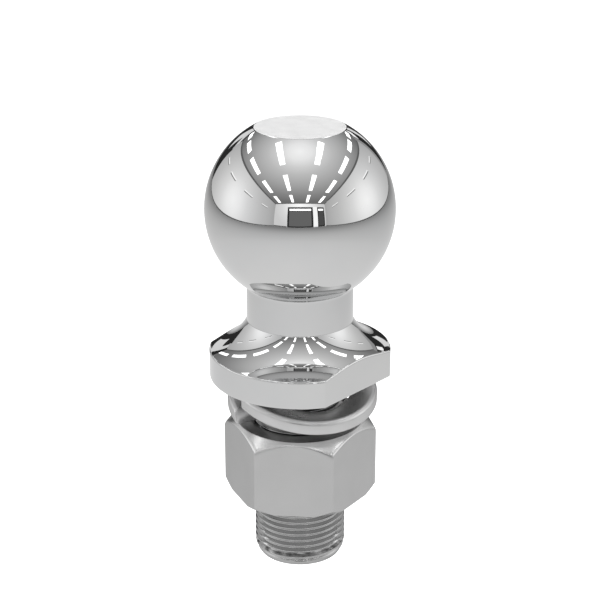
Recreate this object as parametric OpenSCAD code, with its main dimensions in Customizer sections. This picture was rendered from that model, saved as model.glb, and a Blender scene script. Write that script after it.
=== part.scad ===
// Trailer hitch ball with a threaded shank, a split lock washer and a hex nut.
// The origin is the centre of the flange's underside, which seats on a drawbar.
// The shank points down along -Z and the ball is above it.
// Azimuths are counted from -Y, positive towards +X.

/* [Ball] */
// Diameter of the ball
ball_d = 50.8; // [47.6:0.1:58.8]
// Diameter of the flat on the ball's top
ball_flat_d = 24.2; // [10:0.1:36]

/* [Neck] */
// Diameter of the neck
neck_d = 28.9; // [26:0.1:34]
// Height where the ball meets the neck
neck_top_z = 26.14; // [22:0.01:40]

/* [Flange] */
// Diameter of the flange
flange_d = 49.6; // [46:0.1:60]
// Radius of the flare between the neck and the flange's edge
flare_r = 15.22; // [15:0.01:15.5]
// Distance of the flare's centre from the axis
flare_centre_r = 28.36; // [28:0.01:28.5]
// Height of the flare's centre
flare_centre_z = 22.4; // [22:0.01:23]
// Width across the two wrench flats
wrench_af = 41.4; // [38:0.1:45]
// Azimuth of the front wrench flat
wrench_azimuth = 49; // [0:1:179]

/* [Shank] */
// Diameter of the shank, over the thread
shank_d = 25.4; // [19:0.1:25.5]
// Length of the shank below the flange
shank_len = 53.98; // [46:0.01:76]
// Radial depth of the chamfer at the shank's end
shank_end_in = 1.2; // [0.5:0.1:2]
// Height of the chamfer at the shank's end
shank_end_h = 2.2; // [0.5:0.1:4]

/* [Nut] */
// Width across the nut's flats
nut_af = 37; // [36:0.1:42]
// Height of the nut
nut_h = 22; // [16:0.1:25]
// Distance from the flange's underside down to the nut
nut_drop = 13; // [13:0.1:16]
// Azimuth of one of the nut's corners
nut_corner_azimuth = 24.7; // [-30:0.1:30]
// Radial play between the nut's bore and the shank
bore_play = 0.05; // [0.02:0.01:0.1]

/* [Lock washer] */
// Outer diameter of the washer
washer_od = 41.4; // [39:0.1:42]
// Bore of the washer
washer_id = 26.9; // [26.9:0.1:28]
// Thickness of the washer's wire
washer_t = 4.15; // [3.5:0.05:4.2]
// Rounding of the wire's corners
washer_round = 0.9; // [0.3:0.1:1.4]
// Free rise from one end of the coil to the other
washer_rise = 6.26; // [3:0.01:6.5]
// How far the washer hangs down at its low side
washer_tilt = 3.33; // [0:0.01:3.4]
// How far the washer's sides stand up against its front and back
washer_wave = 0.47; // [0:0.01:0.5]
// Azimuth of the washer's low side
washer_low_azimuth = 19; // [0:1:30]
// Sideways shift of the loose washer on the shank
washer_shift = 0.65; // [0:0.01:0.65]

/* [Hidden] */
$fn = 96;
overcut = 1;

chrome = [0.80, 0.80, 0.81];
zinc = [0.66, 0.66, 0.65];

ball_r = ball_d / 2;
neck_r = neck_d / 2;
flange_r = flange_d / 2;
shank_r = shank_d / 2;
ball_z = neck_top_z + sqrt(ball_r ^ 2 - neck_r ^ 2);
ball_top_z = ball_z + sqrt(ball_r ^ 2 - (ball_flat_d / 2) ^ 2);

// The flare leaves the neck at an angle, and the flange's edge cuts it off.
flare_top_z = flare_centre_z - sqrt(flare_r ^ 2 - (flare_centre_r - neck_r) ^ 2);

// The nut's chamfers: radius of the round face left at each end, and how far
// down each chamfer has come where it reaches the nut's corners.
nut_corner_r = nut_af / 2 / cos(30);
nut_top_face_r = 17.6 / 18.5 * nut_af / 2;
nut_top_chamfer_h = 3.7;
nut_bottom_face_r = 19.2 / 18.5 * nut_af / 2;
nut_bottom_chamfer_h = 2;
nut_bore_r = shank_r + bore_play;
countersink = 0.8;

// The coil runs from its upper end, over the front and the right, round the
// back, to its lower end, which is cut a little on a slant.
coil_start = -53;
coil_end_bottom = 300;
coil_end_top = 297;
coil_steps = 60;
// Height of the coil's middle, before rise, tilt and wave
coil_z = -3.02;
// Azimuth where the rise is counted from
coil_zero = -46;
// The coil's upper tip is ground flat at this distance below the flange
tip_drop = 2.02;
corner_steps = 2;
washer_mid_r = (washer_od + washer_id) / 4;
washer_half_w = (washer_od - washer_id) / 4;

// Turns a shape's +X to the given azimuth
module at_azimuth(azimuth) {
    rotate([0, 0, azimuth - 90]) children();
}

module flange_2d() {
    difference() {
        square([flange_r, flare_top_z]);
        translate([flare_centre_r, flare_centre_z]) circle(flare_r);
    }
}

module ball_2d() {
    intersection() {
        translate([0, ball_z]) circle(ball_r);
        translate([0, flare_top_z]) square([ball_r + overcut, ball_top_z - flare_top_z]);
    }
}

module shank() {
    end_r = shank_r - shank_end_in;
    translate([0, 0, shank_end_h - shank_len])
        cylinder(h = shank_len - shank_end_h + overcut, r = shank_r);
    translate([0, 0, -shank_len]) cylinder(h = shank_end_h, r1 = end_r, r2 = shank_r);
}

// Ball, neck, flange and shank are one forging
module hitch_ball() {
    color(chrome) {
        difference() {
            rotate_extrude() {
                ball_2d();
                square([neck_r, neck_top_z + overcut]);
                flange_2d();
            }
            for (side = [0, 180])
                at_azimuth(wrench_azimuth + side)
                    translate([wrench_af / 2, -flange_r, -overcut])
                        cube([flange_r, flange_d, flare_top_z + overcut]);
        }
        shank();
    }
}

// Height of the coil's middle at an azimuth
function coil_mid_z(azimuth) =
    coil_z
    - washer_rise * (azimuth - coil_zero) / 360
    - washer_tilt * cos(azimuth - washer_low_azimuth)
    - washer_wave * cos(2 * (azimuth - washer_low_azimuth));

// The wire's section as [outward, upward] from its middle, with rounded corners
function wire_section() = [
    for (corner = [0:3], k = [0:corner_steps])
        let (
            sx = corner == 0 || corner == 3 ? 1 : -1,
            sy = corner < 2 ? 1 : -1,
            turn = 90 * (corner + k / corner_steps)
        )
        [
            sx * (washer_half_w - washer_round) + washer_round * cos(turn),
            sy * (washer_t / 2 - washer_round) + washer_round * sin(turn)
        ]
];

function coil_point(step, p) =
    let (
        up = p[1] / washer_t + 0.5,
        end = coil_end_bottom + (coil_end_top - coil_end_bottom) * up,
        azimuth = coil_start + (end - coil_start) * step / coil_steps,
        r = washer_mid_r + p[0]
    )
    [r * sin(azimuth), -r * cos(azimuth), min(coil_mid_z(azimuth) + p[1], -tip_drop)];

// Split spring washer: a wire of rounded section coiled through one turn
module lock_washer() {
    section = wire_section();
    n = len(section);
    last = coil_steps * n;
    color(zinc) translate([washer_shift, 0, 0]) polyhedron(
        points = [for (step = [0:coil_steps], p = section) coil_point(step, p)],
        faces = concat(
            [[for (k = [0:n - 1]) k]],
            [[for (k = [n - 1:-1:0]) last + k]],
            [
                for (step = [0:coil_steps - 1], k = [0:n - 1], half = [0, 1])
                    let (a = step * n, b = a + n, next = (k + 1) % n)
                    half == 0 ? [a + k, b + k, b + next] : [a + k, b + next, a + next]
            ]
        ),
        convexity = 6
    );
}

// Outline that rounds off the corners of the nut's two ends
module nut_chamfers_2d() {
    out_r = nut_corner_r + overcut;
    top_slope = nut_top_chamfer_h / (nut_corner_r - nut_top_face_r);
    bottom_slope = nut_bottom_chamfer_h / (nut_corner_r - nut_bottom_face_r);
    polygon([
        [0, -nut_h],
        [nut_bottom_face_r, -nut_h],
        [out_r, -nut_h + bottom_slope * (out_r - nut_bottom_face_r)],
        [out_r, -top_slope * (out_r - nut_top_face_r)],
        [nut_top_face_r, 0],
        [0, 0]
    ]);
}

module nut_bore() {
    translate([0, 0, -nut_h - overcut]) cylinder(h = nut_h + 2 * overcut, r = nut_bore_r);
    translate([0, 0, -countersink])
        cylinder(h = 2 * countersink, r1 = nut_bore_r, r2 = nut_bore_r + 2 * countersink);
    translate([0, 0, -nut_h - countersink])
        cylinder(h = 2 * countersink, r1 = nut_bore_r + 2 * countersink, r2 = nut_bore_r);
}

module hex_nut() {
    color(zinc) translate([0, 0, -nut_drop]) difference() {
        intersection() {
            at_azimuth(nut_corner_azimuth)
                translate([0, 0, -nut_h]) cylinder(h = nut_h, r = nut_corner_r, $fn = 6);
            rotate_extrude() nut_chamfers_2d();
        }
        nut_bore();
    }
}

hitch_ball();
lock_washer();
hex_nut();
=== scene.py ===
import math

import bmesh
import bpy
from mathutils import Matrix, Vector


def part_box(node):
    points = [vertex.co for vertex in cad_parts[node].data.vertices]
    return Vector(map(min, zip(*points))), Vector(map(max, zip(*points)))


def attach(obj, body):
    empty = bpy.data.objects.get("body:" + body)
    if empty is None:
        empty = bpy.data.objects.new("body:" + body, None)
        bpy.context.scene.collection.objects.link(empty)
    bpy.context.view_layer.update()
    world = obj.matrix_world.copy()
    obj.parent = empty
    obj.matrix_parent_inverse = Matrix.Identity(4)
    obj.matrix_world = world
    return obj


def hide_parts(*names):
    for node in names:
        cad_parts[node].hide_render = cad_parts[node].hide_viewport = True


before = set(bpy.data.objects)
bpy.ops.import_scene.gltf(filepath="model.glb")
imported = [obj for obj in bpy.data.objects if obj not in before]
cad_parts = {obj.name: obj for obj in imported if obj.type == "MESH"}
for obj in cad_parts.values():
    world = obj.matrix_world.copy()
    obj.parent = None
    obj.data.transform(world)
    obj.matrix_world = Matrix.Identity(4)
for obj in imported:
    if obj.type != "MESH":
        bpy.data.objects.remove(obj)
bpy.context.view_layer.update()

# A trailer hitch ball on its threaded shank, with a split lock washer and a hex nut.
# The object's lengths are in millimetres until its meshes are made. Azimuths are degrees
# counted from -Y, positive towards +X, and an outline is a list of (radius, height) points.

MM = 0.001

# ---------------------------------------------------------------- sizes from the frame

ball_low, ball_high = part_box("hitch_ball")
nut_low, nut_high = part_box("hex_nut")
BALL_R = ball_high.x / MM
BALL_TOP = ball_high.z / MM
SHANK_END = ball_low.z / MM
NUT_TOP = nut_high.z / MM
NUT_BOTTOM = nut_low.z / MM

# ---------------------------------------------------------------- ball, neck and flange

FLAT_R = 12.1
FLAT_EDGE = 0.25
# The flat's last ring of points before its edge is this far inside it
FLAT_HOLD = 0.55
BALL_Z = BALL_TOP - math.sqrt(BALL_R ** 2 - FLAT_R ** 2)
BALL_STEPS = 64
NECK_R = 14.45
NECK_FILLET = 0.9
NECK_FILLET_STEPS = 6
# The neck's first ring of points is this far below the fillet
NECK_HOLD = 0.5
# Rounding where the neck meets the flare
NECK_KINK = 0.12
FLANGE_R = 24.8
# The flare's arc: its centre as (radius, height), and its own radius
FLARE = ((28.36, 22.4), 15.22)
FLARE_STEPS = 40
CREST_EDGE = 0.35
WRENCH_HALF = 20.7
WRENCH_AZIMUTH = 49.0
WRENCH_CORNER_SOFT = 0.12
WRENCH_CORNER_OFFSETS = (-0.6, -0.43, -0.28, -0.14, 0, 0.14, 0.28, 0.43, 0.6)

# ---------------------------------------------------------------- shank and thread

SHANK_R = 12.65
# The rounded nose at the shank's end: how far it comes in, its height and its power
SHANK_NOSE = (1.15, 3.0, 1.8)
# Rings of the end face, as shares of its radius
END_RINGS = (0.96, 0.6, 0.3, 0)
PITCH = 25.4 / 14
THREAD_START = -3.96
THREAD_RUNOUT = 2.0
THREAD_DEPTH = 0.95
# Half of the crest's width, and a flank's width, both in turns
CREST_HALF = 0.085
FLANK = THREAD_DEPTH * math.tan(math.radians(30)) / PITCH
# Where each turn has its points, in turns from the middle of a crest
THREAD_PHASES = (0.085, 0.095, 0.37, 0.4, 0.6, 0.63, 0.905, 0.915)
# The last groove, coloured darker: its two heights above the shank's end, at the front
LAST_GROOVE = (2.95, 4.2)

# ---------------------------------------------------------------- nut

NUT_HALF = 18.5
NUT_CORNER_AZIMUTH = 24.7
NUT_CORNER_ROUND = 0.8
NUT_CORNER_OFFSETS = (-1.7, -1.2, -0.9, -0.6, -0.3, 0, 0.3, 0.6, 0.9, 1.2, 1.7)
NUT_CORNER_R = NUT_HALF / math.cos(math.radians(30))
# The round face at each end, and how far down or up its chamfer reaches at a corner
NUT_TOP_FACE_R = 17.6
NUT_TOP_CHAMFER = 3.3
NUT_TOP_SLOPE = NUT_TOP_CHAMFER / (NUT_CORNER_R - NUT_TOP_FACE_R)
NUT_BOTTOM_FACE_R = 19.2
NUT_BOTTOM_CHAMFER = 2.0
NUT_BOTTOM_SLOPE = NUT_BOTTOM_CHAMFER / (NUT_CORNER_R - NUT_BOTTOM_FACE_R)
NUT_TOP_EDGE = 0.2
# Rounding between the upper chamfer and a side: at mid-side, and what a corner adds
NUT_SHOULDER_EDGE = 0.2
NUT_SHOULDER_AT_CORNER = 1.0
# The least that the nut's lower edge is taken off, where its chamfer runs out
NUT_FOOT_EDGE = 0.1
# Rows of the nut's outline that lie on its upper chamfer, which get a lighter zinc as a painted
# highlight
NUT_CHAMFER_ROWS = range(5, 11)
NUT_THREAD_GAP = 0.12
NUT_CREST_R = 11.85
COUNTERSINK_R = 13.55

# ---------------------------------------------------------------- washer

WASHER_MID_R = 17.075
WASHER_HALF_W = 3.625
WASHER_T = 4.15
WASHER_ROUND = 0.9
# Rounding of the upper outer edge
WASHER_TOP_ROUND = 1.4
WASHER_SHIFT = 0.65
WASHER_TIP_DROP = 2.02
COIL_START = -53.0
COIL_END_BOTTOM = 300.0
COIL_END_TOP = 297.0
# The coil's middle: its height before the rest, its rise in one turn, the azimuth that
# the rise counts from, its tilt, its wave, and the azimuth of its low side
COIL_Z = -3.02
COIL_RISE = 6.26
COIL_ZERO = -46
COIL_TILT = 3.33
COIL_WAVE = 0.47
COIL_LOW = 19
COIL_STEPS = 300
WIRE_STEPS = 6
# The coil's two end faces are drawn in by this much, over this many degrees
COIL_END_INSET = 0.18
COIL_END_BACK = 0.6

# ---------------------------------------------------------------- mesh density and rounding

EDGE = 0.3
EDGE_STEPS = 4
COLUMNS = 200
# In metres: points closer than this merge, and edges shorter than this go
MERGE = 2e-7
SLIVER = 1e-8


# ---------------------------------------------------------------- curves

def arc(circle, start, end, steps):
    """Points of a circle ((r, z), radius) between angles, in degrees from +r towards +z."""
    (r, z), radius = circle
    angles = [math.radians(start + (end - start) * i / steps) for i in range(steps + 1)]
    return [(r + radius * math.cos(a), z + radius * math.sin(a)) for a in angles]


def eased(start, corner, end):
    """A rounded corner: a curve from start to end that is drawn towards the corner."""
    points = []
    for i in range(EDGE_STEPS + 1):
        t = i / EDGE_STEPS
        a, b, c = (1 - t) ** 2, 2 * t * (1 - t), t ** 2
        points.append(tuple(a * s + b * k + c * e for s, k, e in zip(start, corner, end)))
    return points


def towards(start, end, distance):
    """The point at that distance from start, on the way to end."""
    length = math.dist(start, end)
    return tuple(s + (e - s) * distance / length for s, e in zip(start, end))


def rounded(before, corner, after, size=EDGE):
    """A rounded corner between two straight stretches, with a point beyond each of its ends."""
    return (
        [towards(corner, before, 2 * size)]
        + eased(towards(corner, before, size), corner, towards(corner, after, size))
        + [towards(corner, after, 2 * size)]
    )


def limited(value, low, high):
    return max(low, min(high, value))


def smooth_min(a, b, width):
    """The lower of two values, rounded over where they cross."""
    overlap = max(width - abs(a - b), 0) / width
    return min(a, b) - overlap ** 2 * width / 4


def azimuths(corners, offsets):
    """Even steps once round the axis from the back, with more of them at each corner."""
    even = {360 * i / COLUMNS - 180 for i in range(COLUMNS)}
    extra = {(corner + offset + 180) % 360 - 180 for corner in corners for offset in offsets}
    ordered = sorted(even | extra)
    return ordered + [ordered[0] + 360]


# ---------------------------------------------------------------- thread

def thread_depth(z, azimuth):
    """How far a right-hand 60 degree thread lies below its crest there."""
    turns = (z - THREAD_START) / PITCH - azimuth / 360
    from_crest = abs(turns - round(turns))
    return THREAD_DEPTH * limited((from_crest - CREST_HALF) / FLANK, 0, 1)


def thread_heights(azimuth, low, high):
    """Heights along the thread's helix at an azimuth, going up, all held between low and high."""
    first = math.floor((low - THREAD_START) / PITCH) - 2
    last = math.ceil((high - THREAD_START) / PITCH)
    return [
        limited(THREAD_START + PITCH * (turn + phase + azimuth / 360), low, high)
        for turn in range(first, last + 1)
        for phase in THREAD_PHASES
    ]


def shank_radius(z, azimuth):
    """The shank's radius: the thread fades in below the flange and ends in a rounded nose."""
    run = limited((THREAD_START - z) / THREAD_RUNOUT, 0, 1)
    fade = run * run * (3 - 2 * run)
    inward, height, power = SHANK_NOSE
    nose = SHANK_R - inward * limited(1 - (z - SHANK_END) / height, 0, 1) ** power
    return min(SHANK_R - fade * thread_depth(z, azimuth), nose)


def nut_bore_radius(z, azimuth):
    """The nut's thread follows the shank's with a gap, and opens out at both ends."""
    thread = max(NUT_CREST_R, SHANK_R + NUT_THREAD_GAP - thread_depth(z, azimuth))
    return max(thread, COUNTERSINK_R - (NUT_TOP - z), COUNTERSINK_R - (z - NUT_BOTTOM))


# ---------------------------------------------------------------- meshes

def ruled_faces(columns, rows, closed):
    """Quads between neighbouring columns, each with the row that it starts from."""
    faces, face_rows = [], []
    for i in range(columns - 1):
        for j in range(rows if closed else rows - 1):
            k = (j + 1) % rows
            a, b = i * rows, (i + 1) * rows
            faces.append((a + j, a + k, b + k, b + j))
            face_rows.append(j)
    return faces, face_rows


def tidy_mesh(mesh):
    """Merge points that fall together, face everything outwards and shade it smooth."""
    work = bmesh.new()
    work.from_mesh(mesh)
    bmesh.ops.remove_doubles(work, verts=work.verts, dist=MERGE)
    bmesh.ops.dissolve_degenerate(work, edges=work.edges, dist=SLIVER)
    bmesh.ops.recalc_face_normals(work, faces=work.faces)
    for face in work.faces:
        face.smooth = True
    work.to_mesh(mesh)
    work.free()


def skin(name, columns, materials, material_of_row, closed=False):
    """A mesh over columns of points. The columns go round the axis and the rows run along them."""
    verts = [Vector(p) * MM for column in columns for p in column]
    faces, face_rows = ruled_faces(len(columns), len(columns[0]), closed)
    mesh = bpy.data.meshes.new(name)
    mesh.from_pydata(verts, [], faces)
    mesh.polygons.foreach_set("material_index", [material_of_row(row) for row in face_rows])
    tidy_mesh(mesh)
    for material in materials:
        mesh.materials.append(material)
    piece = bpy.data.objects.new(name, mesh)
    bpy.context.scene.collection.objects.link(piece)
    return piece


def around(outline, azimuth):
    """An outline's points, placed at an azimuth about the axis."""
    a = math.radians(azimuth)
    return [(r * math.sin(a), -r * math.cos(a), z) for r, z in outline]


# ---------------------------------------------------------------- ball, neck, flange and shank

def ball_outline():
    """From the middle of the flat on top, round the ball and down the neck to the flare."""
    flat_deg = math.degrees(math.acos(FLAT_R / BALL_R))
    edge_deg = math.degrees(FLAT_EDGE / BALL_R)
    ball = ((0, BALL_Z), BALL_R)
    below_edge = arc(ball, flat_deg - edge_deg, 0, 1)[0]
    fillet_r = NECK_R + NECK_FILLET
    fillet_z = BALL_Z - math.sqrt((BALL_R + NECK_FILLET) ** 2 - fillet_r ** 2)
    fillet = ((fillet_r, fillet_z), NECK_FILLET)
    neck_deg = math.degrees(math.atan2(fillet_z - BALL_Z, fillet_r))
    return (
        [(0, BALL_TOP), (FLAT_R / 3, BALL_TOP), (FLAT_R * 2 / 3, BALL_TOP)]
        + [(FLAT_R - FLAT_HOLD, BALL_TOP)]
        + eased((FLAT_R - FLAT_EDGE, BALL_TOP), (FLAT_R, BALL_TOP), below_edge)
        + arc(ball, flat_deg - 1.5 * edge_deg, neck_deg, BALL_STEPS)
        + arc(fillet, neck_deg + 180, 180, NECK_FILLET_STEPS)[1:]
        + [(NECK_R, fillet_z - NECK_HOLD)]
    )


def flare_deg(r):
    """Angle on the flare's arc where it reaches a radius."""
    (centre_r, _), radius = FLARE
    return 180 + math.degrees(math.acos((centre_r - r) / radius))


def flare_z(r):
    """Height of the flare at a radius."""
    return arc(FLARE, flare_deg(r), 0, 1)[0][1]


def rim_radius(azimuth):
    """Radius of the flange's edge, which has a wrench flat on two sides."""
    across = abs(math.cos(math.radians(azimuth - WRENCH_AZIMUTH)))
    return smooth_min(FLANGE_R, WRENCH_HALF / max(across, 0.5), WRENCH_CORNER_SOFT)


def flange_outline(azimuth):
    """Down the flare, over the flange's edge and in under it to the shank."""
    rim = rim_radius(azimuth)
    top = (NECK_R, flare_z(NECK_R))
    inner = rim - CREST_EDGE
    flare = arc(FLARE, flare_deg(NECK_R + EDGE), flare_deg(inner - EDGE), FLARE_STEPS)
    crest = eased((inner, flare_z(inner)), (rim, flare_z(rim)), (rim, flare_z(rim) - CREST_EDGE))
    return (
        rounded((NECK_R, top[1] + 1), top, flare[0], NECK_KINK)
        + flare
        + crest
        + [(rim, flare_z(rim) - CREST_EDGE - EDGE), (rim, flare_z(rim) / 2)]
        + rounded((rim, flare_z(rim)), (rim, 0), (SHANK_R, 0))
        + [((rim + SHANK_R) / 2, 0), (SHANK_R + 2 * EDGE, 0)]
        + eased((SHANK_R + EDGE, 0), (SHANK_R, 0), (SHANK_R, -EDGE))
        + [(SHANK_R, -2 * EDGE)]
    )


def shank_outline(azimuth):
    """Down the thread, over the rounded nose and across the end face."""
    heights = thread_heights(azimuth, SHANK_END, THREAD_START)
    end_r = SHANK_R - SHANK_NOSE[0]
    return (
        [(shank_radius(z, azimuth), z) for z in reversed(heights)]
        + [(end_r * share, SHANK_END) for share in END_RINGS]
    )


def last_groove_rows(shank_row):
    """Rows of the darker-coloured last groove near the shank's end."""
    heights = reversed(thread_heights(0, SHANK_END, THREAD_START))
    low, high = (SHANK_END + height for height in LAST_GROOVE)
    inside = [row for row, z in enumerate(heights) if low < z < high]
    return range(shank_row + 1 + inside[0], shank_row + 1 + inside[-1])


def ball_finish(top_rows, flange_rows):
    """Which material a row has: 0 chrome, 1 facing, 2 thread, 3 seat or 4 dark groove."""
    # The flat's four rings and half of its edge
    facing_rows = 4 + EDGE_STEPS // 2
    shank_row = top_rows + flange_rows - 2
    # The flange's underside, from its outer edge in to the shank
    seat_row = shank_row - EDGE_STEPS - 4
    groove = last_groove_rows(shank_row)

    def finish(row):
        if row < facing_rows:
            return 1
        if row in groove:
            return 4
        if row >= shank_row:
            return 2
        return 3 if row >= seat_row else 0

    return finish


def hitch_ball(chrome, facing, thread, seat, dark_groove):
    """Ball, neck, flange and threaded shank: one forging, so one skin."""
    top = ball_outline()
    corner = math.degrees(math.acos(WRENCH_HALF / FLANGE_R))
    corners = [WRENCH_AZIMUTH + side + turn for side in (0, 180) for turn in (-corner, corner)]
    columns = [
        around(top + flange_outline(azimuth) + shank_outline(azimuth), azimuth)
        for azimuth in azimuths(corners, WRENCH_CORNER_OFFSETS)
    ]
    finish = ball_finish(len(top), len(flange_outline(0)))
    return skin("ball_and_shank", columns, [chrome, facing, thread, seat, dark_groove], finish)


# ---------------------------------------------------------------- hex nut

def nut_side(azimuth):
    """Distance from the axis to the nut's side, with its corners rounded."""
    from_corner = (azimuth - NUT_CORNER_AZIMUTH + 30) % 60 - 30
    a = math.radians(abs(from_corner))
    centre = (NUT_HALF - NUT_CORNER_ROUND) / math.cos(math.radians(30))
    across = centre * math.sin(a)
    flat = NUT_HALF / math.cos(math.radians(30) - a)
    if across >= NUT_CORNER_ROUND:
        return flat
    return min(flat, centre * math.cos(a) + math.sqrt(NUT_CORNER_ROUND ** 2 - across ** 2))


def nut_outline(azimuth):
    """Out over the top face, down the side, in under the bottom face and up the bore."""
    side = nut_side(azimuth)
    top_in = (COUNTERSINK_R, NUT_TOP)
    top_out = (NUT_TOP_FACE_R, NUT_TOP)
    shoulder = (side, NUT_TOP - NUT_TOP_SLOPE * (side - NUT_TOP_FACE_R))
    foot_height = max(NUT_FOOT_EDGE, NUT_BOTTOM_SLOPE * (side - NUT_BOTTOM_FACE_R))
    foot = (side, NUT_BOTTOM + foot_height)
    bottom_out = (min(NUT_BOTTOM_FACE_R, side - NUT_FOOT_EDGE), NUT_BOTTOM)
    bottom_in = (COUNTERSINK_R, NUT_BOTTOM)
    middle = (side, (shoulder[1] + foot[1]) / 2)
    small = min(EDGE, 0.45 * math.dist(foot, bottom_out)) / 2
    at_corner = (side - NUT_HALF) / (NUT_CORNER_R - NUT_HALF)
    soft = NUT_SHOULDER_EDGE + NUT_SHOULDER_AT_CORNER * at_corner
    return (
        [(COUNTERSINK_R + 1, NUT_TOP)]
        + rounded(top_in, top_out, shoulder, NUT_TOP_EDGE)
        + rounded(top_out, shoulder, middle, soft)
        + [middle]
        + rounded(middle, foot, bottom_out, small)
        + rounded(foot, bottom_out, bottom_in, small)
        + [((COUNTERSINK_R + NUT_BOTTOM_FACE_R) / 2, NUT_BOTTOM), bottom_in]
        + [(nut_bore_radius(z, azimuth), z) for z in thread_heights(azimuth, NUT_BOTTOM, NUT_TOP)]
    )


def hex_nut(zinc, thread, chamfer):
    """The nut's sides, chamfered ends and threaded bore, in one closed skin."""
    corners = [NUT_CORNER_AZIMUTH + 60 * i for i in range(6)]
    columns = [
        around(nut_outline(azimuth), azimuth) for azimuth in azimuths(corners, NUT_CORNER_OFFSETS)
    ]
    bore_row = len(columns[0]) - len(thread_heights(0, NUT_BOTTOM, NUT_TOP))

    def finish(row):
        if row >= bore_row:
            return 1
        # The upper chamfer gets a lighter, smoother copy of the nut's zinc. The lower roughness is
        # a finish, and the lighter colour is a painted highlight.
        return 2 if row in NUT_CHAMFER_ROWS else 0

    return skin("hex_nut_threaded", columns, [zinc, thread, chamfer], finish, closed=True)


# ---------------------------------------------------------------- split lock washer

def coil_mid_z(azimuth):
    """Height of the coil's middle: it rises, hangs tilted, and its sides stand up a little."""
    low = math.radians(azimuth - COIL_LOW)
    rise = COIL_RISE * (azimuth - COIL_ZERO) / 360
    return COIL_Z - rise - COIL_TILT * math.cos(low) - COIL_WAVE * math.cos(2 * low)


def wire_section(inset):
    """The wire's section as (outward, upward) from its middle, drawn in by inset."""
    half_w, half_t = WASHER_HALF_W - inset, WASHER_T / 2 - inset
    points = []
    for corner in range(4):
        radius = WASHER_ROUND if corner else WASHER_TOP_ROUND
        side = 1 if corner in (0, 3) else -1
        up = 1 if corner < 2 else -1
        for i in range(WIRE_STEPS + 1):
            turn = math.radians(90 * (corner + i / WIRE_STEPS))
            across = side * (half_w - radius) + radius * math.cos(turn)
            height = up * (half_t - radius) + radius * math.sin(turn)
            points.append((across, height))
    return points


def coil_column(share, inset, back):
    """The section at a share of the way along the coil, moved along it by back degrees."""
    column = []
    for across, height in wire_section(inset):
        up = height / WASHER_T + 0.5
        end = COIL_END_BOTTOM + (COIL_END_TOP - COIL_END_BOTTOM) * up
        azimuth = COIL_START + (end - COIL_START) * share + back
        a = math.radians(azimuth)
        r = WASHER_MID_R + across
        z = min(coil_mid_z(azimuth) + height, -WASHER_TIP_DROP)
        column.append((WASHER_SHIFT + r * math.sin(a), -r * math.cos(a), z))
    return column


def close_ends(mesh):
    """Fill the coil's two open ends."""
    work = bmesh.new()
    work.from_mesh(mesh)
    bmesh.ops.holes_fill(work, edges=work.edges, sides=0)
    bmesh.ops.recalc_face_normals(work, faces=work.faces)
    work.to_mesh(mesh)
    work.free()


def lock_washer(zinc):
    """One turn of wire, with both end faces slightly rounded."""
    inset, back = COIL_END_INSET, COIL_END_BACK
    start = [coil_column(0, inset, 0), coil_column(0, inset / 3, back / 3)]
    middle = [coil_column(i / COIL_STEPS, 0, 0) for i in range(1, COIL_STEPS)]
    end = [coil_column(1, inset / 3, -back / 3), coil_column(1, inset, 0)]
    columns = start + middle + end
    piece = skin("split_lock_washer", columns, [zinc], lambda row: 0, closed=True)
    close_ends(piece.data)
    return piece


# ---------------------------------------------------------------- shader nodes

# Most of a noise texture's values lie between these two.
NOISE_LOW = 0.3
NOISE_HIGH = 0.7


def grey(value):
    return (value, value, value)


def new_material(name):
    """A material, its nodes and links, and its Principled shader."""
    material = bpy.data.materials.new(name)
    material.use_nodes = True
    nodes = material.node_tree.nodes
    return material, nodes, material.node_tree.links, nodes["Principled BSDF"]


def noise(nodes, links, scale, detail, stretch=(1, 1, 1)):
    """Noise over the object's own coordinates, with scale counted per metre."""
    place = nodes.new("ShaderNodeTexCoord")
    mapping = nodes.new("ShaderNodeMapping")
    mapping.inputs["Scale"].default_value = stretch
    texture = nodes.new("ShaderNodeTexNoise")
    texture.inputs["Scale"].default_value = scale
    texture.inputs["Detail"].default_value = detail
    links.new(place.outputs["Object"], mapping.inputs["Vector"])
    links.new(mapping.outputs["Vector"], texture.inputs["Vector"])
    return texture.outputs["Fac"]


def ranged(nodes, links, source, low, high):
    """A noise value spread from low to high."""
    spread = nodes.new("ShaderNodeMapRange")
    spread.inputs["From Min"].default_value = NOISE_LOW
    spread.inputs["From Max"].default_value = NOISE_HIGH
    spread.inputs["To Min"].default_value = low
    spread.inputs["To Max"].default_value = high
    links.new(source, spread.inputs["Value"])
    return spread.outputs["Result"]


def tinted(nodes, links, source, dark, light):
    """A colour between dark and light, by a noise value."""
    ramp = nodes.new("ShaderNodeValToRGB")
    ramp.color_ramp.elements[0].position = NOISE_LOW
    ramp.color_ramp.elements[0].color = (*dark, 1)
    ramp.color_ramp.elements[1].position = NOISE_HIGH
    ramp.color_ramp.elements[1].color = (*light, 1)
    links.new(source, ramp.inputs["Fac"])
    return ramp.outputs["Color"]


def bumped(nodes, links, shader, source, strength, distance):
    """Bump on a shader, with its distance in millimetres."""
    bump = nodes.new("ShaderNodeBump")
    bump.inputs["Strength"].default_value = strength
    bump.inputs["Distance"].default_value = distance * MM
    links.new(source, bump.inputs["Height"])
    links.new(bump.outputs["Normal"], shader.inputs["Normal"])


# ---------------------------------------------------------------- materials

def chrome_material():
    """Polished chrome plate: a clean mirror whose polish varies very slightly."""
    material, nodes, links, shader = new_material("polished_chrome")
    cloud = noise(nodes, links, 60, 3)
    fine = noise(nodes, links, 900, 4)
    colour = tinted(nodes, links, cloud, (0.595, 0.598, 0.602), (0.625, 0.625, 0.622))
    shader.inputs["Metallic"].default_value = 1.0
    links.new(colour, shader.inputs["Base Color"])
    links.new(ranged(nodes, links, fine, 0.012, 0.03), shader.inputs["Roughness"])
    return material


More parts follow.
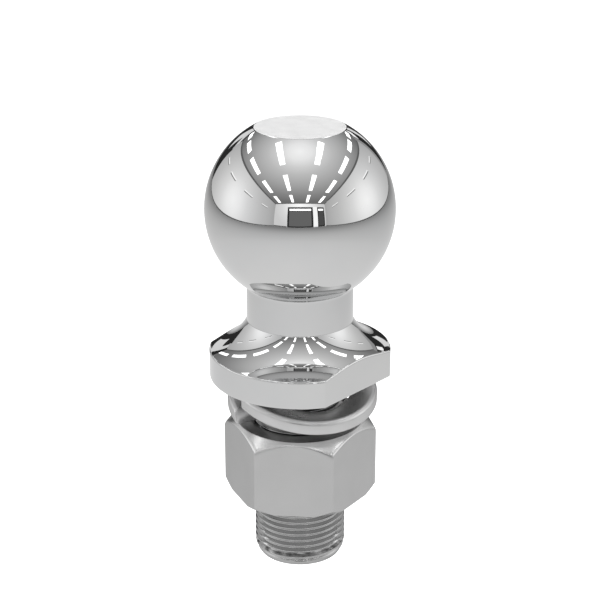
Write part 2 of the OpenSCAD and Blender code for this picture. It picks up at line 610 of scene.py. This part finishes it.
def facing_material():
    """The flat on top, turned on a lathe and then plated: satin, with fine rings."""
    material, nodes, links, shader = new_material("turned_flat")
    place = nodes.new("ShaderNodeTexCoord")
    rings = nodes.new("ShaderNodeTexWave")
    rings.wave_type = "RINGS"
    rings.rings_direction = "Z"
    rings.inputs["Scale"].default_value = 900
    rings.inputs["Distortion"].default_value = 1.0
    rings.inputs["Detail"].default_value = 2.0
    links.new(place.outputs["Object"], rings.inputs["Vector"])
    cloud = noise(nodes, links, 300, 4)
    shader.inputs["Metallic"].default_value = 0.1
    links.new(tinted(nodes, links, cloud, grey(0.93), grey(0.97)), shader.inputs["Base Color"])
    links.new(ranged(nodes, links, cloud, 0.42, 0.55), shader.inputs["Roughness"])
    bumped(nodes, links, shader, rings.outputs["Fac"], 0.15, 0.01)
    return material


def zinc_material(name, dark, light, rough, grain_depth=0.1):
    """Satin plated steel, grey from dark to light in soft patches, with a fine grain."""
    material, nodes, links, shader = new_material(name)
    patches = noise(nodes, links, 120, 4)
    grain = noise(nodes, links, 1800, 3)
    shader.inputs["Metallic"].default_value = 1.0
    shader.inputs["Specular Tint"].default_value = (*grey(0.64), 1)
    roughness = ranged(nodes, links, patches, rough - 0.02, rough + 0.02)
    links.new(tinted(nodes, links, patches, grey(dark), grey(light)), shader.inputs["Base Color"])
    links.new(roughness, shader.inputs["Roughness"])
    bumped(nodes, links, shader, grain, grain_depth, 0.005)
    return material


def dark_groove_material():
    """The thread's last groove, coloured dark in uneven blotches."""
    material, nodes, links, shader = new_material("dark_last_groove")
    blotches = noise(nodes, links, 420, 4, (1, 1, 2))
    shader.inputs["Metallic"].default_value = 1.0
    links.new(tinted(nodes, links, blotches, grey(0.03), grey(0.62)), shader.inputs["Base Color"])
    links.new(ranged(nodes, links, blotches, 0.4, 0.3), shader.inputs["Roughness"])
    return material


# ---------------------------------------------------------------- the room's lights

# The room's unit is the height of its ceiling above the ball's middle. The reflected floor
# is where the shank's end stands, and it sets the unit: it lies 0.1753 below that middle.
SIDE, END, BACK, FLOOR = 1.33, -2.3, 2.1, -0.1753
CENTRE_Z = BALL_Z * MM
UNIT = (ball_low.z - CENTRE_Z) / FLOOR
# A panel that lies on another stands off it by this much
LAYER = 0.004
SHADE = 0.17

LAMP_ROWS = ((-1.0, 0.135), (-0.335, 0.112), (0.33, 0.112), (0.96, 0.135))
LAMP_PLACES = (-1.81, -0.93, -0.02, 0.89, 1.78)
LAMP_HALF = 0.31
DASH_PLACES = (-1.41, -0.5, 0.37, 1.18)
DASH_HALF = 0.2

FLOOR_REACH = 35
# A nut that has come off the shank's end is this far below it
LOOSE_NUT_ROOM = 24 * MM


def in_room(x, y, z):
    """A point given in the room's unit from the ball's middle."""
    return Vector((x * UNIT, y * UNIT, CENTRE_Z + z * UNIT))


def emitter(name, radiance):
    """An emission material and its shader."""
    material = bpy.data.materials.new(name)
    material.use_nodes = True
    nodes, links = material.node_tree.nodes, material.node_tree.links
    nodes.clear()
    shader = nodes.new("ShaderNodeEmission")
    shader.inputs["Strength"].default_value = radiance
    output = nodes.new("ShaderNodeOutputMaterial")
    links.new(shader.outputs["Emission"], output.inputs["Surface"])
    return material, shader


def emission(name, radiance):
    return emitter(name, radiance)[0]


def distance_from(nodes, links, centre, scale):
    """Distance from a point of the room, with each axis scaled."""
    place = nodes.new("ShaderNodeTexCoord")
    away = nodes.new("ShaderNodeVectorMath")
    away.operation = "SUBTRACT"
    away.inputs[1].default_value = in_room(*centre)
    squeeze = nodes.new("ShaderNodeVectorMath")
    squeeze.operation = "MULTIPLY"
    squeeze.inputs[1].default_value = scale
    length = nodes.new("ShaderNodeVectorMath")
    length.operation = "LENGTH"
    links.new(place.outputs["Object"], away.inputs[0])
    links.new(away.outputs["Vector"], squeeze.inputs[0])
    links.new(squeeze.outputs["Vector"], length.inputs[0])
    return length.outputs["Value"]


def glow(name, centre, reach, stops, stretch=(1, 1, 1)):
    """An emission that fades with distance from a point. Stops are (share of reach, radiance)."""
    peak = max(radiance for _, radiance in stops)
    material, shader = emitter(name, peak)
    nodes, links = material.node_tree.nodes, material.node_tree.links
    ramp = nodes.new("ShaderNodeValToRGB")
    ramp.color_ramp.interpolation = "LINEAR"
    while len(ramp.color_ramp.elements) < len(stops):
        ramp.color_ramp.elements.new(0.5)
    for element, (share, radiance) in zip(ramp.color_ramp.elements, stops):
        element.position = share
        element.color = (*grey(radiance / peak), 1)
    distance = distance_from(nodes, links, centre, [s / (reach * UNIT) for s in stretch])
    links.new(distance, ramp.inputs["Fac"])
    links.new(ramp.outputs["Color"], shader.inputs["Color"])
    return material


# ---------------------------------------------------------------- the room's panels

def panel(name, corners, material):
    """A flat piece of the room. It lights the object and shows in it, and the camera passes it."""
    mesh = bpy.data.meshes.new(name)
    mesh.from_pydata([in_room(*corner) for corner in corners], [], [range(len(corners))])
    mesh.materials.append(material)
    piece = bpy.data.objects.new(name, mesh)
    bpy.context.scene.collection.objects.link(piece)
    piece.visible_camera = False
    return piece


def level(name, z, x0, x1, y0, y1, material):
    return panel(name, [(x0, y0, z), (x1, y0, z), (x1, y1, z), (x0, y1, z)], material)


def on_wall_y(name, y, x0, x1, z0, z1, material):
    return panel(name, [(x0, y, z0), (x1, y, z0), (x1, y, z1), (x0, y, z1)], material)


def on_wall_x(name, x, y0, y1, z0, z1, material):
    return panel(name, [(x, y0, z0), (x, y1, z0), (x, y1, z1), (x, y0, z1)], material)


def ceiling():
    """A ceiling that is brightest over the object, with four rows of lamps and a dark cornice."""
    fade = glow(
        "ceiling_grey", (0, -0.05, 1), 2.5,
        [(0, 1.44), (0.08, 1.28), (0.16, 0.98), (0.24, 0.79), (0.32, 0.67), (0.4, 0.57)]
        + [(0.48, 0.48), (0.6, 0.37), (0.72, 0.3), (0.84, 0.24)],
    )
    lamp = emission("ceiling_lamp", 3.0)
    shade = emission("ceiling_shade", SHADE)
    low = 1 - LAYER
    level("ceiling", 1, -SIDE, SIDE, END, BACK, fade)
    for side in (-1, 1):
        level(f"cornice_{side}", low, side * SIDE, side * (SIDE - 0.05), END, BACK, shade)
    level("cornice_end", low, -SIDE, SIDE, END, END + 0.08, shade)
    for row, (x, width) in enumerate(LAMP_ROWS):
        x0, x1 = x - width / 2, x + width / 2
        for number, y in enumerate(LAMP_PLACES):
            y0, y1 = y - LAMP_HALF, y + LAMP_HALF
            level(f"lamp_{row}_{number}", 1 - 1.5 * LAYER, x0, x1, y0, y1, lamp)


def dashes(side, x, light, shadow):
    """A broken line of light along a side wall, with its shadow under it."""
    z = 0.6 + 0.02 * side
    for number, y in enumerate(DASH_PLACES):
        y0, y1 = y - DASH_HALF, y + DASH_HALF
        on_wall_x(f"dash_{side}_{number}", x, y0, y1, z - 0.025, z + 0.005, light)
        on_wall_x(f"dash_line_{side}_{number}", x, y0, y1, z - 0.05, z - 0.025, shadow)


def side_walls():
    """Two long walls, brightest beside the object."""
    light = emission("dash_light", 1.5)
    shadow = emission("dash_line", 0.3)
    shade = emission("wall_shade", SHADE)
    for side in (-1, 1):
        wall = glow(
            f"side_wall_{side}", (side * SIDE, -0.05, 0.2), 2.4,
            [(0, 1.43), (0.1, 1.33), (0.15, 1.24), (0.23, 1.08), (0.33, 0.95), (0.44, 0.84)]
            + [(0.54, 0.77), (0.67, 0.71), (0.92, 0.6)],
        )
        near = side * (SIDE - LAYER)
        on_wall_x(f"side_{side}", side * SIDE, END, BACK, FLOOR, 1, wall)
        on_wall_x(f"skirting_{side}", near, END, BACK, FLOOR, FLOOR + 0.03, shade)
        on_wall_x(f"side_top_{side}", near, END, BACK, 0.97, 1, shade)
        dashes(side, near, light, shadow)


def door(name, x0, x1, frame_w, panel_light, lamp):
    """A dark opening in the end wall, with a frame and a lamp along its head."""
    black = emission(f"{name}_frame", 0.035)
    dark = emission(f"{name}_panel", panel_light)
    left, right = x0 + frame_w, x1 - frame_w
    near = END + LAYER
    on_wall_y(f"{name}_frame", near, x0, x1, FLOOR, 0.81, black)
    on_wall_y(f"{name}_panel", near + LAYER, left, right, FLOOR + 0.06, 0.6, dark)
    on_wall_y(f"{name}_lamp", near + LAYER, left, right, 0.63, 0.725, lamp)


def end_wall():
    """The wall behind the camera, with two doors and a pillar between them."""
    stops = [(0, 1.6), (0.3, 1.3), (0.45, 1.1), (0.65, 0.95)]
    wall = glow("end_wall", (0, END, 0.95), 2.0, stops)
    lamp = emission("door_lamp", 2.5)
    pillar = emission("pillar", 1.5)
    shade = emission("end_shade", SHADE)
    near = END + LAYER
    on_wall_y("end_wall", END, -SIDE, SIDE, FLOOR, 1, wall)
    on_wall_y("end_skirting", near, -SIDE, -0.62, FLOOR, FLOOR + 0.05, shade)
    on_wall_y("pillar", near, 0.64, 0.86, FLOOR + 0.03, 0.83, pillar)
    door("door", -0.6, 0.63, 0.09, 0.2, lamp)
    door("side_door", 0.87, 1.23, 0.05, 0.11, lamp)


def back_wall():
    """The dark wall behind the object, with a few light openings near its corners."""
    dark = emission("back_wall", 0.03)
    light = emission("back_light", 0.95)
    bright = emission("back_bright", 1.4)
    pale = emission("back_grey", 0.4)
    near = BACK - LAYER
    on_wall_y("back_wall", BACK, -SIDE, SIDE, FLOOR, 1, dark)
    on_wall_y("back_light_left", near, -1.0, -0.66, 0.2, 0.85, light)
    on_wall_y("back_band_left", near, -SIDE, -1.0, 0.65, 0.85, light)
    on_wall_y("back_light_right", near, 0.57, 0.75, 0, 0.62, light)
    on_wall_y("back_lamp_right", near, 0.84, 1.08, 0.66, 0.86, bright)
    on_wall_y("back_grey_right", near, 1.12, SIDE, FLOOR, 1, pale)
    on_wall_x("side_end_left", LAYER - SIDE, 1.88, BACK, FLOOR, 0.6, dark)


def seen_floor():
    """The white floor that the camera sees, low enough to clear a nut off the shank's end."""
    pale = bpy.data.materials.new("pale_floor")
    pale.use_nodes = True
    shader = pale.node_tree.nodes["Principled BSDF"]
    shader.inputs["Base Color"].default_value = (*grey(0.8), 1)
    shader.inputs["Roughness"].default_value = 1.0
    shader.inputs["Specular IOR Level"].default_value = 0.0
    shader.inputs["Emission Color"].default_value = (*grey(1), 1)
    shader.inputs["Emission Strength"].default_value = 1.0
    far = FLOOR_REACH
    seen = level("floor", FLOOR - LOOSE_NUT_ROOM / UNIT, -far, far, -far, far, pale)
    seen.visible_camera = True
    seen.visible_glossy = False


def reflected_floor():
    """The floor that shows in the metal, brightest round the object."""
    fade = glow(
        "lit_floor", (-0.02, -0.12, FLOOR), 2.4,
        [(0, 0.95), (0.055, 0.93), (0.12, 0.88), (0.16, 0.84), (0.2, 0.77), (0.27, 0.69)]
        + [(0.375, 0.57), (0.5, 0.45), (0.6, 0.38), (0.7, 0.335), (0.85, 0.29)],
        stretch=(1.08, 1, 1),
    )
    level("floor_in_metal", FLOOR - LAYER / 2, -SIDE, SIDE, END, BACK, fade)


# ---------------------------------------------------------------- backdrop and camera

def backdrop():
    """A white world, and colours shown as they are."""
    world = bpy.data.worlds.new("white")
    world.use_nodes = True
    world.node_tree.nodes["Background"].inputs["Color"].default_value = (*grey(1), 1)
    bpy.context.scene.world = world
    bpy.context.scene.view_settings.view_transform = "Standard"


def camera():
    """In front of the object and looking down on it, fitted to the photograph's view."""
    data = bpy.data.cameras.new("camera")
    data.lens = 96
    data.sensor_width = 36
    piece = bpy.data.objects.new("camera", data)
    piece.location = (0, -0.4039, 0.17646)
    piece.rotation_euler = (math.radians(68.965), 0, 0)
    bpy.context.scene.collection.objects.link(piece)
    bpy.context.scene.camera = piece


# ---------------------------------------------------------------- the scene

def build():
    """The three pieces, each riding on its own body in place of its CAD solid."""
    chrome = chrome_material()
    facing = facing_material()
    thread = zinc_material("plated_thread", 0.4, 0.46, 0.17, 0.02)
    seat = zinc_material("flange_seat", 0.8, 0.84, 0.5)
    washer_zinc = zinc_material("washer_zinc", 0.54, 0.61, 0.29, 0.02)
    nut_zinc = zinc_material("nut_zinc", 0.475, 0.5, 0.3, 0.01)
    nut_thread = zinc_material("nut_thread", 0.45, 0.55, 0.35)
    # A lighter copy of the nut's zinc for its upper chamfer: a painted highlight, on a smoother
    # finish
    chamfer = zinc_material("nut_chamfer_highlight", 0.6, 0.64, 0.24, 0.01)
    # The last groove near the shank's end gets a darker colour, in blotches
    dark_groove = dark_groove_material()
    for piece, body, node, slot in (
        (hitch_ball(chrome, facing, thread, seat, dark_groove), "ball", "hitch_ball", "chrome_plate"),
        (lock_washer(washer_zinc), "washer", "lock_washer", "washer_zinc"),
        (hex_nut(nut_zinc, nut_thread, chamfer), "nut", "hex_nut", "nut_zinc"),
    ):
        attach(piece, body)
        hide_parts(node)


backdrop()
camera()
ceiling()
side_walls()
end_wall()
back_wall()
seen_floor()
reflected_floor()
build()
